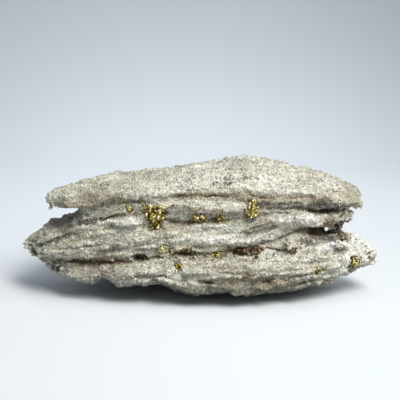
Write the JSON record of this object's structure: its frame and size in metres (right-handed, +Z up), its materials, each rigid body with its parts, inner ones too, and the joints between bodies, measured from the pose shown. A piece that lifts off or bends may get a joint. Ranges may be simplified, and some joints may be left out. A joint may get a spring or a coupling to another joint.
{
  "type": "mineral specimen",
  "caption": "Natural cluster of grown-together lens-shaped crystal blades, lying flat, with small metallic crystal clusters set in the crevices between them.",
  "frame": {"origin": "middle of the specimen's footprint, on the surface that it rests on", "axes": "+X along the blades, +Y to the back of the specimen, away from the side with the pyrite, +Z up"},
  "size_m": [0.1502, 0.0624, 0.0576],
  "materials": {
    "druse": "matte",
    "brassy": "polished",
    "tarnished": "satin",
    "dark": "satin"
  },
  "bodies": {
    "root": {"barite_blades": "druse", "pyrite_main_cluster": "brassy", "pyrite_left_single": "brassy", "pyrite_upper_cluster": "brassy", "pyrite_upper_pair": "brassy", "pyrite_tall_cluster": "brassy", "pyrite_lower_dark_cluster": "dark", "pyrite_lower_bright": "brassy", "pyrite_lower_pale": "brassy", "pyrite_lower_chain": "tarnished", "pyrite_lower_yellow": "brassy", "pyrite_lower_brown_row": "tarnished", "pyrite_lower_right": "brassy", "pyrite_front_upper": "tarnished", "pyrite_front_right": "brassy", "pyrite_right_cluster": "brassy", "pyrite_right_tip": "dark", "sulphide_above_gap": "dark", "sulphide_below_gap": "tarnished", "sulphide_ledge": "dark", "sulphide_left_lump": "dark", "sulphide_left_crevice": "dark", "sulphide_top_left": "dark", "sulphide_top_right": "dark"}
  },
  "joints": []
}
